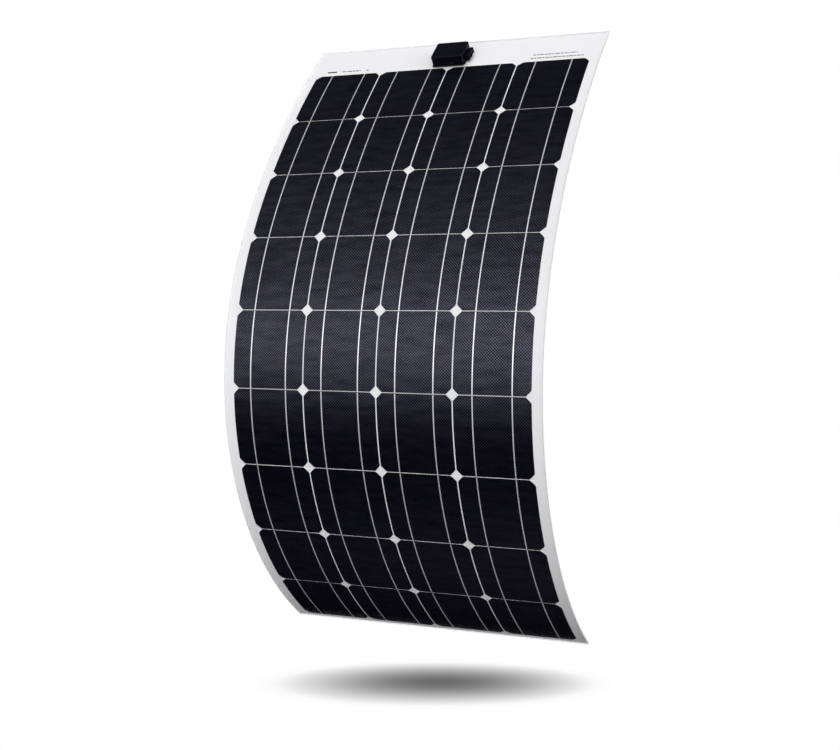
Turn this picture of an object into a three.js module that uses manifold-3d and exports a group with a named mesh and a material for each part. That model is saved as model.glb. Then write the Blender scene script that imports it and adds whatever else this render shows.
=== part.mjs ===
// A flexible solar sheet: nine rows of four silicon cells, laminated between a white back sheet and a clear
// front film, bent along its length, with a junction box glued to its top margin.
// Millimetres. At the middle row +X runs along the row, +Z runs up the sheet and the front faces -Y.
// The origin is the centre of the middle row's back face.
import * as THREE from "three";
import { mergeVertices } from "three/addons/utils/BufferGeometryUtils.js";
import Module from "manifold-3d";

// Cells and sheet
const ROWS = 9;
const COLUMNS = 4;
const CELL_SIDE = 125;
const WAFER_DIAMETER = 165; // the round wafer that each cell is sawn from, which leaves its cut corners
const CELL_PITCH = 127;
const SHEET_WIDTH = 540;
const TOP_MARGIN = 77;
const BOTTOM_MARGIN = 12;
const SHEET_CORNER_RADIUS = 3;
const ROW_CLEARANCE = 0.4; // between the sheet segments of two rows

// The laminate's layers, each from its back to its front, measured from the sheet's back face
const BACK_SHEET_LAYER = [0, 1.2];
const CELL_LAYER = [1.5, 1.7];
const FRONT_FILM_LAYER = [2, 3];

// The bend, in degrees per millimetre of sheet: sharpest a little below the middle, easing off to both ends
const SHARPEST_BEND = 0.128;
const SHARPEST_BEND_AT = -60;
const TOP_BEND = 0.04;
const TOP_BEND_REACH = 500;
const BOTTOM_BEND = 0.08;
const BOTTOM_BEND_REACH = 600;
const FACETS_PER_ROW = 5;

// Junction box, measured in its own frame: X along the row, Y up the sheet, Z out of the sheet's front
const BOX_WIDTH = 58;
const BOX_LENGTH = 46;
const BOX_HEIGHT = 18;
const BOX_ABOVE_CELLS = 4;
const BOX_WALL = 3;
const BOX_FLOOR = 2;
const BOX_CORNER_RADIUS = 4;
const RIM_HEIGHT = 11;
const SEAL_WIDTH = 1.2;
const SEAL_HEIGHT = 1.4;
const LID_BEVEL = 1.8;
const LID_CEILING = 2;
const SNAP_TAB = { width: 10, thickness: 1.2, depth: 4 };
const RIBBON_SLOT = { width: 36, length: 4, below: 14 };
const CLEARANCE = 0.3; // between two pieces that touch

// Cable outlet on the right-hand wall of the box
const OUTLET = { reach: 8, length: 26, height: 8.6, bottom: 1.4 };
const OUTLET_RIB = { width: 2, height: 1 };
const CABLE_HOLE_DIAMETER = 6.2;
const CABLE_HOLE_OFFSET = 6;

// Electrical parts inside the box
const STRIP = { width: 44, length: 9, height: 2.2, below: 4 };
const CLAMP = { width: 8, height: 6, offset: 17 };
const DIODE = { radius: 2.65, length: 9, leadRadius: 0.6, leadSpan: 42 };

const FACET = CELL_PITCH / FACETS_PER_ROW;
const CELL_CORNER = (CELL_SIDE - Math.sqrt(WAFER_DIAMETER ** 2 - CELL_SIDE ** 2)) / 2;
const CELLS_TOP = (ROWS * CELL_PITCH - (CELL_PITCH - CELL_SIDE)) / 2;
const SHEET_TOP = CELLS_TOP + TOP_MARGIN;
const SHEET_BOTTOM = -CELLS_TOP - BOTTOM_MARGIN;

const FINISHES = {
  cell: new THREE.MeshStandardMaterial({ color: 0x14141d, roughness: 0.35, metalness: 0.2 }),
  backSheet: new THREE.MeshStandardMaterial({ color: 0xececee, roughness: 0.6, metalness: 0 }),
  frontFilm: new THREE.MeshStandardMaterial({ color: 0xf4f5f8, roughness: 0.35, transparent: true, opacity: 0.25 }),
  housing: new THREE.MeshStandardMaterial({ color: 0x101014, roughness: 0.45, metalness: 0 }),
  rubber: new THREE.MeshStandardMaterial({ color: 0x1a1a1c, roughness: 0.8, metalness: 0 }),
  terminal: new THREE.MeshStandardMaterial({ color: 0xc2a35a, roughness: 0.35, metalness: 1 }),
  diode: new THREE.MeshStandardMaterial({ color: 0x222226, roughness: 0.5, metalness: 0 }),
};

const wasm = await Module();
wasm.setup();

// ---- The sheet's bend ----

// Degrees turned over a distance from the sharpest bend, as the bend eases to its end value over its reach
function turnFromSharpest(distance, endBend, reach) {
  const eased = Math.min(distance / reach, 1);
  const beyond = Math.max(distance - reach, 0);
  const change = (endBend - SHARPEST_BEND) * reach * (eased ** 3 - eased ** 4 / 2);
  return SHARPEST_BEND * Math.min(distance, reach) + change + endBend * beyond;
}

function turnAt(along) {
  const distance = along - SHARPEST_BEND_AT;
  if (distance < 0) return -turnFromSharpest(-distance, BOTTOM_BEND, BOTTOM_BEND_REACH);
  return turnFromSharpest(distance, TOP_BEND, TOP_BEND_REACH);
}

// How far the sheet leans back from upright, in radians, at a distance along it from the middle row's centre
function lean(along) {
  return THREE.MathUtils.degToRad(turnAt(along) - turnAt(0));
}

// The sheet is a chain of flat facets, each leaning as the sheet does at the facet's centre.
// A fold is the line between two facets, kept with its place and its forward normal.
function foldsOneWay(direction, end) {
  const folds = [];
  let place = new THREE.Vector3(0, 0, 0);
  let facet = 0;
  for (let along = FACET / 2; along < end + FACET; along += FACET) {
    const angle = lean(direction * facet * FACET);
    const length = facet === 0 ? FACET / 2 : FACET;
    place = place.clone().add(new THREE.Vector3(0, Math.sin(angle), Math.cos(angle)).multiplyScalar(direction * length));
    const foldAngle = (angle + lean(direction * (facet + 1) * FACET)) / 2;
    const forward = new THREE.Vector3(0, -Math.cos(foldAngle), Math.sin(foldAngle));
    folds.push({ along: direction * along, place, forward });
    facet += 1;
  }
  return folds;
}

const FOLDS = [...foldsOneWay(-1, -SHEET_BOTTOM).reverse(), ...foldsOneWay(1, SHEET_TOP)];

// The point at a distance along the sheet and a height above its back face
function sheetPoint(along, height) {
  const upper = FOLDS.findIndex((fold) => fold.along >= along);
  const [a, b] = [FOLDS[upper - 1], FOLDS[upper]];
  const share = (along - a.along) / (b.along - a.along);
  const low = a.place.clone().addScaledVector(a.forward, height);
  const high = b.place.clone().addScaledVector(b.forward, height);
  return low.lerp(high, share);
}

function rowCentre(row) {
  return ((ROWS + 1) / 2 - row) * CELL_PITCH;
}

// ---- Geometry helpers ----

// Stations along the sheet from one end to the other, with one at every fold between them
function stations(from, to, extra = []) {
  const between = FOLDS.map((fold) => fold.along).filter((along) => along > from && along < to);
  return [from, ...between, ...extra, to].sort((a, b) => a - b);
}

// A plate that lies in one layer of the sheet and follows its bend; its half width may change along it
function bentPlate(alongs, halfWidth, centreX, [back, front]) {
  const geometry = new THREE.BoxGeometry(1, 1, 1, 1, 1, alongs.length - 1);
  const position = geometry.getAttribute("position");
  for (let i = 0; i < position.count; i++) {
    const along = alongs[Math.round((position.getZ(i) + 0.5) * (alongs.length - 1))];
    const point = sheetPoint(along, position.getY(i) < 0 ? front : back);
    const x = centreX + 2 * position.getX(i) * halfWidth(along);
    position.setXYZ(i, x, point.y, point.z);
  }
  return geometry;
}

function roundedRectangle(width, length, radius) {
  const [x, y] = [width / 2, length / 2];
  const shape = new THREE.Shape();
  shape.absarc(x - radius, y - radius, radius, 0, Math.PI / 2);
  shape.absarc(radius - x, y - radius, radius, Math.PI / 2, Math.PI);
  shape.absarc(radius - x, radius - y, radius, Math.PI, 1.5 * Math.PI);
  shape.absarc(x - radius, radius - y, radius, 1.5 * Math.PI, 2 * Math.PI);
  shape.closePath();
  return shape;
}

function block(width, length, height, x, y, bottom) {
  return toSolid(new THREE.BoxGeometry(width, length, height).translate(x, y, bottom + height / 2));
}

function prism(shape, bottom, height) {
  const options = { depth: height, bevelEnabled: false, curveSegments: 5 };
  return toSolid(new THREE.ExtrudeGeometry(shape, options).translate(0, 0, bottom));
}

function rodAlongX(radius, length, x, y, z) {
  return toSolid(new THREE.CylinderGeometry(radius, radius, length, 20).rotateZ(Math.PI / 2).translate(x, y, z));
}

function toSolid(geometry) {
  const bare = geometry.clone();
  bare.deleteAttribute("normal");
  bare.deleteAttribute("uv");
  const merged = mergeVertices(bare, 1e-4);
  const vertProperties = merged.getAttribute("position").array;
  return new wasm.Manifold(new wasm.Mesh({ numProp: 3, vertProperties, triVerts: new Uint32Array(merged.index.array) }));
}

function toGeometry(solid) {
  const { vertProperties, triVerts } = solid.getMesh();
  const geometry = new THREE.BufferGeometry();
  geometry.setAttribute("position", new THREE.BufferAttribute(vertProperties, 3));
  geometry.setIndex(new THREE.BufferAttribute(triVerts, 1));
  geometry.computeVertexNormals();
  return geometry;
}

function mesh(name, geometry, finish) {
  const made = new THREE.Mesh(geometry, finish);
  made.name = name;
  return made;
}

// ---- One row of the sheet ----

// The whole sheet has rounded corners, which only the first and last rows reach
function sheetHalfWidth(along) {
  const fromEnd = Math.min(SHEET_TOP - along, along - SHEET_BOTTOM);
  const inset = Math.max(SHEET_CORNER_RADIUS - fromEnd, 0);
  return SHEET_WIDTH / 2 - SHEET_CORNER_RADIUS + Math.sqrt(SHEET_CORNER_RADIUS ** 2 - inset ** 2);
}

function cornerStations(end, inward) {
  return [0.12, 0.4, 1].map((share) => end + inward * share * SHEET_CORNER_RADIUS);
}

function sheetSegment(row, layer) {
  const edge = CELL_PITCH / 2 - ROW_CLEARANCE / 2;
  const first = row === ROWS;
  const last = row === 1;
  const from = first ? SHEET_BOTTOM : rowCentre(row) - edge;
  const to = last ? SHEET_TOP : rowCentre(row) + edge;
  const corners = [...(first ? cornerStations(SHEET_BOTTOM, 1) : []), ...(last ? cornerStations(SHEET_TOP, -1) : [])];
  return bentPlate(stations(from, to, corners), sheetHalfWidth, 0, layer);
}

// A square cell with the four corners that the round wafer didn't fill cut off straight
function cell(row, column) {
  const centre = rowCentre(row);
  const half = CELL_SIDE / 2;
  const cutAt = half - CELL_CORNER;
  const halfWidth = (along) => half - Math.max(Math.abs(along - centre) - cutAt, 0);
  const alongs = stations(centre - half, centre + half, [centre - cutAt, centre + cutAt]);
  const centreX = (column - (COLUMNS + 1) / 2) * CELL_PITCH;
  return bentPlate(alongs, halfWidth, centreX, CELL_LAYER);
}

// Each row has its own frame, at the centre of its back face and leaning as the sheet leans there
function rowFrame(row) {
  const frame = new THREE.Group();
  frame.position.copy(sheetPoint(rowCentre(row), 0));
  frame.rotation.x = -lean(rowCentre(row));
  frame.updateMatrix();
  return frame;
}

function buildRow(row) {
  const frame = rowFrame(row);
  const toFrame = frame.matrix.clone().invert();
  const place = (name, geometry, finish) => frame.add(mesh(name, geometry.applyMatrix4(toFrame), finish));
  place(`back_sheet_row_${row}`, sheetSegment(row, BACK_SHEET_LAYER), FINISHES.backSheet);
  for (let column = 1; column <= COLUMNS; column++) {
    place(`cell_r${row}_c${column}`, cell(row, column), FINISHES.cell);
  }
  place(`front_film_row_${row}`, sheetSegment(row, FRONT_FILM_LAYER), FINISHES.frontFilm);
  return frame;
}

// ---- Junction box ----

// A tub glued to the film, with a ledge for the seal, a slot for the ribbons and two holes for the cables
function boxBase() {
  const outer = roundedRectangle(BOX_WIDTH, BOX_LENGTH, BOX_CORNER_RADIUS);
  const inner = insetRectangle(BOX_WALL);
  const ledge = insetRectangle(BOX_WALL - SEAL_WIDTH - CLEARANCE);
  const ledgeHeight = RIM_HEIGHT - SEAL_HEIGHT;
  const slot = block(RIBBON_SLOT.width, RIBBON_SLOT.length, 2 * BOX_FLOOR, 0, -RIBBON_SLOT.below, -BOX_FLOOR / 2);
  let base = prism(outer, 0, RIM_HEIGHT)
    .subtract(prism(inner, BOX_FLOOR, RIM_HEIGHT))
    .subtract(prism(ledge, ledgeHeight, RIM_HEIGHT))
    .subtract(slot);
  for (const side of [-1, 1]) {
    const holeX = BOX_WIDTH / 2 - BOX_WALL / 2;
    base = base.subtract(rodAlongX(CABLE_HOLE_DIAMETER / 2, 2 * BOX_WALL, holeX, side * CABLE_HOLE_OFFSET, cableHeight()));
  }
  return base;
}

function insetRectangle(inset) {
  const radius = Math.max(BOX_CORNER_RADIUS - inset, 1);
  return roundedRectangle(BOX_WIDTH - 2 * inset, BOX_LENGTH - 2 * inset, radius);
}

function cableHeight() {
  return OUTLET.bottom + OUTLET.height / 2;
}

// A rubber ring that stands on the ledge and carries the lid
function lidSeal() {
  const outer = insetRectangle(BOX_WALL - SEAL_WIDTH);
  const inner = insetRectangle(BOX_WALL);
  const bottom = RIM_HEIGHT - SEAL_HEIGHT + CLEARANCE;
  return prism(outer, bottom, SEAL_HEIGHT).subtract(prism(inner, bottom - 1, SEAL_HEIGHT + 2));
}

// A cap with a bevelled top edge and two snap tabs that reach down inside the walls
function lid() {
  const bottom = RIM_HEIGHT + 2 * CLEARANCE;
  const shape = roundedRectangle(BOX_WIDTH, BOX_LENGTH, BOX_CORNER_RADIUS);
  const bevel = { bevelSize: LID_BEVEL, bevelThickness: LID_BEVEL, bevelOffset: -LID_BEVEL, bevelSegments: 3 };
  const options = { depth: BOX_HEIGHT - bottom, curveSegments: 5, ...bevel };
  const raised = new THREE.ExtrudeGeometry(shape, options).translate(0, 0, bottom - LID_BEVEL);
  let cap = toSolid(raised).intersect(block(2 * BOX_WIDTH, 2 * BOX_LENGTH, BOX_HEIGHT, 0, 0, bottom));
  cap = cap.subtract(prism(insetRectangle(BOX_WALL), bottom - 1, BOX_HEIGHT - LID_CEILING - bottom + 1));
  const tabTop = BOX_HEIGHT - LID_CEILING / 2;
  const tabBottom = RIM_HEIGHT - SNAP_TAB.depth;
  const tabY = BOX_LENGTH / 2 - BOX_WALL - CLEARANCE - SNAP_TAB.thickness / 2;
  for (const side of [-1, 1]) {
    cap = cap.add(block(SNAP_TAB.width, SNAP_TAB.thickness, tabTop - tabBottom, 0, side * tabY, tabBottom));
  }
  return cap;
}

// A ribbed block on the right-hand wall, bored for the two cables
function cableOutlet() {
  const start = BOX_WIDTH / 2 + CLEARANCE;
  const ribReach = OUTLET.reach + OUTLET_RIB.height;
  let outlet = block(OUTLET.reach, OUTLET.length, OUTLET.height, start + OUTLET.reach / 2, 0, OUTLET.bottom);
  for (const step of [-1, 0, 1]) {
    const y = step * (OUTLET.length / 2 - OUTLET_RIB.width / 2);
    const height = OUTLET.height + OUTLET_RIB.height;
    const thickness = ribReach - OUTLET.reach / 2;
    const centreX = start + ribReach - thickness / 2;
    outlet = outlet.add(block(thickness, OUTLET_RIB.width, height, centreX, y, OUTLET.bottom));
  }
  for (const side of [-1, 1]) {
    const hole = rodAlongX(CABLE_HOLE_DIAMETER / 2, 4 * OUTLET.reach, start, side * CABLE_HOLE_OFFSET, cableHeight());
    outlet = outlet.subtract(hole);
  }
  return outlet;
}

// An insulating strip with a raised clamp at each end
function terminalStrip() {
  const bottom = BOX_FLOOR + CLEARANCE;
  let strip = block(STRIP.width, STRIP.length, STRIP.height, 0, -STRIP.below, bottom);
  for (const side of [-1, 1]) {
    strip = strip.add(block(CLAMP.width, STRIP.length, CLAMP.height, side * CLAMP.offset, -STRIP.below, bottom));
  }
  return strip;
}

// A round diode body with its two leads lying across the clamps
function bypassDiode() {
  const { radius, length, leadRadius, leadSpan } = DIODE;
  const ends = [
    [0, -leadSpan / 2],
    [leadRadius, -leadSpan / 2],
    [leadRadius, -length / 2],
    [radius, -length / 2],
    [radius, length / 2],
    [leadRadius, length / 2],
    [leadRadius, leadSpan / 2],
    [0, leadSpan / 2],
  ];
  const profile = ends.map(([x, y]) => new THREE.Vector2(x, y));
  const height = BOX_FLOOR + CLEARANCE + CLAMP.height + CLEARANCE + leadRadius;
  return new THREE.LatheGeometry(profile, 16).rotateZ(Math.PI / 2).translate(0, -STRIP.below, height);
}

// The box stands on the front film, square to the sheet where the box is centred
function buildJunctionBox() {
  const box = new THREE.Group();
  const along = CELLS_TOP + BOX_ABOVE_CELLS + BOX_LENGTH / 2;
  box.position.copy(sheetPoint(along, FRONT_FILM_LAYER[1] + CLEARANCE));
  box.rotation.x = Math.PI / 2 - lean(along);
  box.add(mesh("junction_box_base", toGeometry(boxBase()), FINISHES.housing));
  box.add(mesh("junction_box_lid", toGeometry(lid()), FINISHES.housing));
  box.add(mesh("lid_seal", toGeometry(lidSeal()), FINISHES.rubber));
  box.add(mesh("cable_outlet", toGeometry(cableOutlet()), FINISHES.rubber));
  box.add(mesh("terminal_strip", toGeometry(terminalStrip()), FINISHES.terminal));
  box.add(mesh("bypass_diode", bypassDiode(), FINISHES.diode));
  return box;
}

const solarSheet = new THREE.Group();
for (let row = 1; row <= ROWS; row++) solarSheet.add(buildRow(row));
solarSheet.add(buildJunctionBox());

export default solarSheet;
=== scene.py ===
import math

import bmesh
import bpy
from mathutils import Euler, Matrix, Vector


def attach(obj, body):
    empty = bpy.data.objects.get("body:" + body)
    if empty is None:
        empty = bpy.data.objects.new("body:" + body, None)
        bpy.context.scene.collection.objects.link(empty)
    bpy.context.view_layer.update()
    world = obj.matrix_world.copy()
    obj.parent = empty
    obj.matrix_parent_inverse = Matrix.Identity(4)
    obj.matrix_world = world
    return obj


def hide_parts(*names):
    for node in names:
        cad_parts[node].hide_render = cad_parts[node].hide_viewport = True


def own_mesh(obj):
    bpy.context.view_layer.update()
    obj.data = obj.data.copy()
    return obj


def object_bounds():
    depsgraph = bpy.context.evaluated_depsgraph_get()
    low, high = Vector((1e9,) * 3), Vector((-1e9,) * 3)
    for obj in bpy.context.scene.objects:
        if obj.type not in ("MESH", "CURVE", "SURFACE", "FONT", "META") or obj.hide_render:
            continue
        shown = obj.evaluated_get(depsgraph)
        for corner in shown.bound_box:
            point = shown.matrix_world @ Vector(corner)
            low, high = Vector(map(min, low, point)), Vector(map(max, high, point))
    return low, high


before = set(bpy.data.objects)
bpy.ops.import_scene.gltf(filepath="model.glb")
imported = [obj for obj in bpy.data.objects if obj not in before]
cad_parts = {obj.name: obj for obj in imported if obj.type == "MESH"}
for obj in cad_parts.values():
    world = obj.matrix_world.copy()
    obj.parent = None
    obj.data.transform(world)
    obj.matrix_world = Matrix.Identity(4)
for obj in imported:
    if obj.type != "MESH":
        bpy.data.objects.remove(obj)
cad_low, cad_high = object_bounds()

# ---- Camera -------------------------------------------------------------------------------------------------
# A short telephoto stands to the right of the sheet, a little below its middle, and looks slightly up at it.
# The sheet's upper end leans a little to the left in the frame, which is the camera's own tilt.
CAMERA_PLACE = (0.871, -1.869, -0.148)
CAMERA_TURN = 23.09
CAMERA_RISE = 3.18
CAMERA_TILT = 2.81
CAMERA_LENS = 57.3

camera_data = bpy.data.cameras.new("camera")
camera_data.lens = CAMERA_LENS
camera_data.sensor_width = 36.0
camera = bpy.data.objects.new("camera", camera_data)
camera.location = CAMERA_PLACE
aim = Euler((math.radians(90 + CAMERA_RISE), 0, math.radians(CAMERA_TURN))).to_matrix()
camera.rotation_euler = (aim @ Matrix.Rotation(math.radians(CAMERA_TILT), 3, "Z")).to_euler()
bpy.context.scene.collection.objects.link(camera)
bpy.context.scene.camera = camera
bpy.context.scene.view_settings.view_transform = "Standard"

# ---- Floor --------------------------------------------------------------------------------------------------
# A plain white floor lies a hand's breadth under the sheet and runs into the white room without a horizon.
# All that shows of it is a soft oval painted shadow under the sheet, painted into the floor's glow; no lamp casts
# it.
FLOOR_GAP = 0.062
FLOOR_RADIUS = 1.2
FLOOR_SIDES = 96
# Where the painted shadow lies on the floor, its half widths and its turn, and how dark it is painted from its
# middle outward
PAINTED_SHADOW_CENTRE = (0.070, 0.153)
PAINTED_SHADOW_RADII = (0.289, 0.190)
PAINTED_SHADOW_TURN = 53.5
PAINTED_SHADOW_SHADES = ((0.0, 0.15), (0.25, 0.38), (0.5, 0.61), (0.75, 0.81), (0.92, 0.94), (1.0, 0.97), (1.25, 1.0))


def feed(tree, value, socket):
    """Links a socket to another one, or sets it to a plain value."""
    if isinstance(value, bpy.types.NodeSocket):
        tree.links.new(value, socket)
    else:
        socket.default_value = value


def add(tree, kind, *values, **settings):
    """Adds a node with its settings, and feeds the values to its sockets in their order."""
    node = tree.nodes.new(kind)
    for setting, value in settings.items():
        setattr(node, setting, value)
    for socket, value in zip([socket for socket in node.inputs if socket.enabled], values):
        feed(tree, value, socket)
    return node


def number(tree, operation, *values):
    return add(tree, "ShaderNodeMath", *values, operation=operation).outputs[0]


def new_material(name, base_color, roughness=0.5, **settings):
    """Gives the material, its node tree and its shader; settings are the shader's plain values."""
    material = bpy.data.materials.new(name)
    material.use_nodes = True
    shader = material.node_tree.nodes["Principled BSDF"]
    shader.inputs["Base Color"].default_value = (*base_color, 1.0)
    shader.inputs["Roughness"].default_value = roughness
    for socket, value in settings.items():
        shader.inputs[socket.replace("_", " ")].default_value = value
    return material, material.node_tree, shader


def ramp(tree, value, *stops):
    """A grey that follows a value through stops of (place, shade)."""
    node = add(tree, "ShaderNodeValToRGB", value)
    elements = node.color_ramp.elements
    while len(elements) < len(stops):
        elements.new(0.5)
    for element, (place, shade) in zip(elements, stops):
        element.position = place
        element.color = (shade, shade, shade, 1.0)
    return node.outputs[0]


floor_mesh = bpy.data.meshes.new("floor")
shape = bmesh.new()
bmesh.ops.create_circle(shape, cap_ends=True, radius=FLOOR_RADIUS, segments=FLOOR_SIDES)
bmesh.ops.translate(shape, verts=shape.verts, vec=(*PAINTED_SHADOW_CENTRE, cad_low.z - FLOOR_GAP))
shape.to_mesh(floor_mesh)
shape.free()
floor = bpy.data.objects.new("floor", floor_mesh)
bpy.context.scene.collection.objects.link(floor)
floor.visible_glossy = False
floor.visible_diffuse = False
floor.visible_shadow = False

floor_with_painted_shadow, tree, shader = new_material("floor white", (0.0, 0.0, 0.0), roughness=1.0, Specular_IOR_Level=0.0)
# The floor glows evenly white, except for the painted shadow: an oval whose glow is painted darker towards its
# middle.
where = tree.nodes.new("ShaderNodeTexCoord").outputs["Object"]
oval = add(tree, "ShaderNodeMapping", where, (*PAINTED_SHADOW_CENTRE, cad_low.z - FLOOR_GAP),
           (0.0, 0.0, math.radians(PAINTED_SHADOW_TURN)), (*PAINTED_SHADOW_RADII, 1.0), vector_type="TEXTURE").outputs[0]
apart = add(tree, "ShaderNodeVectorMath", oval, oval, operation="DOT_PRODUCT")
widest = PAINTED_SHADOW_SHADES[-1][0]
shade = ramp(tree, number(tree, "DIVIDE", apart.outputs["Value"], widest),
             *((place / widest, light) for place, light in PAINTED_SHADOW_SHADES))
tree.links.new(shade, shader.inputs["Emission Color"])
shader.inputs["Emission Strength"].default_value = 1.0
floor_mesh.materials.append(floor_with_painted_shadow)

# ---- Light --------------------------------------------------------------------------------------------------
# Three soft boxes light the sheet: one in front and to the left, one overhead and one behind. The room's own glow
# is what the glossy cells and film mirror, brightest just above eye level, dimmer behind the sheet and far left.
SOFT_BOXES = (
    ("front soft box", (-1.1, -2.4, -1.1), (2.4, 1.6), 24.0),
    ("overhead soft box", (0.0, 0.45, 2.2), (1.0, 1.0), 16.0),
    ("rear soft box", (1.6, 2.6, 0.5), (2.0, 1.4), 24.0),
)
ROOM_PEAK = 5.8
ROOM_BY_HEIGHT = (
    (0.0, 0.04), (0.06, 0.024), (0.12, 0.0), (0.46, 0.012), (0.485, 0.17), (0.515, 0.85), (0.555, 1.0),
    (0.595, 0.46), (0.7, 0.187), (0.8, 0.157), (0.88, 0.12), (0.94, 0.052), (0.965, 0.006), (1.0, 0.0),
)
# Where the glow changes across the room and along it, each as from, to, and the share of it at both
BRIGHT_SIDE_EDGES = (-0.55, -0.36, 0.2, 1.0)
BRIGHT_FRONT_EDGES = (-0.35, 0.45, 1.0, 0.3)


def eased(tree, value, *limits):
    """Runs smoothly between two values as the given value goes from one limit to the other."""
    return add(tree, "ShaderNodeMapRange", value, *limits, interpolation_type="SMOOTHSTEP").outputs[0]


def mixed(tree, share, *colors):
    """One colour where the share is 0, and the other where it is 1."""
    colors = [color if isinstance(color, bpy.types.NodeSocket) else (*color, 1.0) for color in colors]
    return add(tree, "ShaderNodeMix", share, *colors, data_type="RGBA").outputs["Result"]


for name, place, size, power in SOFT_BOXES:
    light = bpy.data.lights.new(name, "AREA")
    light.shape = "RECTANGLE"
    light.size, light.size_y = size
    light.energy = power
    lamp = bpy.data.objects.new(name, light)
    lamp.location = place
    lamp.rotation_euler = (-Vector(place)).to_track_quat("-Z", "Y").to_euler()
    lamp.visible_glossy = False
    lamp.visible_camera = False
    bpy.context.scene.collection.objects.link(lamp)

room = bpy.data.worlds.new("room")
room.use_nodes = True
tree = room.node_tree
direction = tree.nodes.new("ShaderNodeTexCoord").outputs["Generated"]
split = add(tree, "ShaderNodeSeparateXYZ", direction).outputs
height = number(tree, "MULTIPLY_ADD", split["Z"], 0.5, 0.5)
glow = number(tree, "MULTIPLY", ramp(tree, height, *ROOM_BY_HEIGHT), ROOM_PEAK)
for axis, edges in (("X", BRIGHT_SIDE_EDGES), ("Y", BRIGHT_FRONT_EDGES)):
    glow = number(tree, "MULTIPLY", glow, eased(tree, split[axis], *edges))
seen = tree.nodes.new("ShaderNodeLightPath").outputs["Is Camera Ray"]
tree.links.new(mixed(tree, seen, glow, (1.0, 1.0, 1.0)), tree.nodes["Background"].inputs["Color"])
bpy.context.scene.world = room

# ---- Back sheet ---------------------------------------------------------------------------------------------
# The white polyester sheet that carries everything. It is one laminated sheet, drawn here in nine lengths
# that meet at the gaps between cell rows. It bends most a little below the middle and less to both ends.
ROWS = 9
COLUMNS = 4
CELL_PITCH = 0.127
CELL_WIDTH = 0.1249
CELL_LENGTH = 0.1259
SHEET_WIDTH = 0.540
TOP_MARGIN = 0.076
BOTTOM_MARGIN = 0.011
CORNER_RADIUS = 0.003
BACK_SHEET_LAYER = (0.0, 0.0012)
BACK_SHEET_JOIN = 0.00005
STEP = 0.00125  # between the stations along a bent piece
SHARPEST_BEND = 128.0  # degrees per metre of sheet
SHARPEST_BEND_AT = -0.060
END_BENDS = {-1: (80.0, 0.600), 1: (40.0, 0.500)}  # the bend that each end eases to, and over what length
FRONT_HEIGHT = 0.003
FRONT_FACE = 0.5  # how far forward, and sideways, a face's normal must point to be a front, and a side
SIDE_FACE = 0.1
END_REACH = 0.0001
SHARP_EDGE = 35.0

sheet_top = ROWS * CELL_PITCH / 2 + TOP_MARGIN
sheet_bottom = -ROWS * CELL_PITCH / 2 - BOTTOM_MARGIN


def turn(along):
    """How far the sheet turns between its sharpest bend and a place along it, in degrees."""
    distance = abs(along - SHARPEST_BEND_AT)
    way = 1 if along > SHARPEST_BEND_AT else -1
    bend, reach = END_BENDS[way]
    share = min(distance / reach, 1.0)
    turned = SHARPEST_BEND * min(distance, reach) + bend * max(distance - reach, 0.0)
    turned += (bend - SHARPEST_BEND) * reach * (share**3 - share**4 / 2)
    return way * turned


def lean(along):
    """How far the sheet leans from upright at a place along it; it is upright at the middle row."""
    return math.radians(turn(along) - turn(0.0))


# The guide is the sheet's back face seen from the side, and pieces are laid flat and then bent onto it.
# It starts half a facet's bulge in front of the origin, so that it follows the frame's facets on both sides.
GUIDE_STEP = 0.001
GUIDE_REACH = 0.66
FACET_BULGE = 0.00009


def guide_way(way):
    place = Vector((0.0, -FACET_BULGE, 0.0))
    for i in range(round(GUIDE_REACH / GUIDE_STEP)):
        angle = lean(way * (i + 0.5) * GUIDE_STEP)
        place = place + way * GUIDE_STEP * Vector((0.0, math.sin(angle), math.cos(angle)))
        yield place


guide_points = [*reversed([*guide_way(-1)]), Vector((0.0, -FACET_BULGE, 0.0)), *guide_way(1)]


def sheet_point(along, height):
    """The point in the sheet's middle plane at a height over its back face."""
    place = (along + GUIDE_REACH) / GUIDE_STEP
    i = min(int(place), len(guide_points) - 2)
    angle = lean(along)
    forward = Vector((0.0, -math.cos(angle), math.sin(angle)))
    return guide_points[i].lerp(guide_points[i + 1], place - i) + height * forward


guide_curve = bpy.data.curves.new("guide", "CURVE")
guide_curve.dimensions = "3D"
guide_spline = guide_curve.splines.new("POLY")
guide_spline.points.add(len(guide_points) - 1)
for point, place in zip(guide_spline.points, guide_points):
    point.co = (*place, 1.0)
guide = bpy.data.objects.new("guide", guide_curve)
bpy.context.scene.collection.objects.link(guide)


def new_tree(name, **inputs):
    """Starts a tree that gives a mesh, with the names and kinds of its inputs."""
    tree = bpy.data.node_groups.new(name, "GeometryNodeTree")
    tree.interface.new_socket("Geometry", in_out="OUTPUT", socket_type="NodeSocketGeometry")
    for socket, kind in inputs.items():
        tree.interface.new_socket(socket.replace("_", " "), in_out="INPUT", socket_type="NodeSocket" + kind)
    return tree, tree.nodes.new("NodeGroupInput").outputs, tree.nodes.new("NodeGroupOutput").inputs[0]


def vector(tree, operation, *values):
    return add(tree, "ShaderNodeVectorMath", *values, operation=operation).outputs["Vector"]


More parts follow.
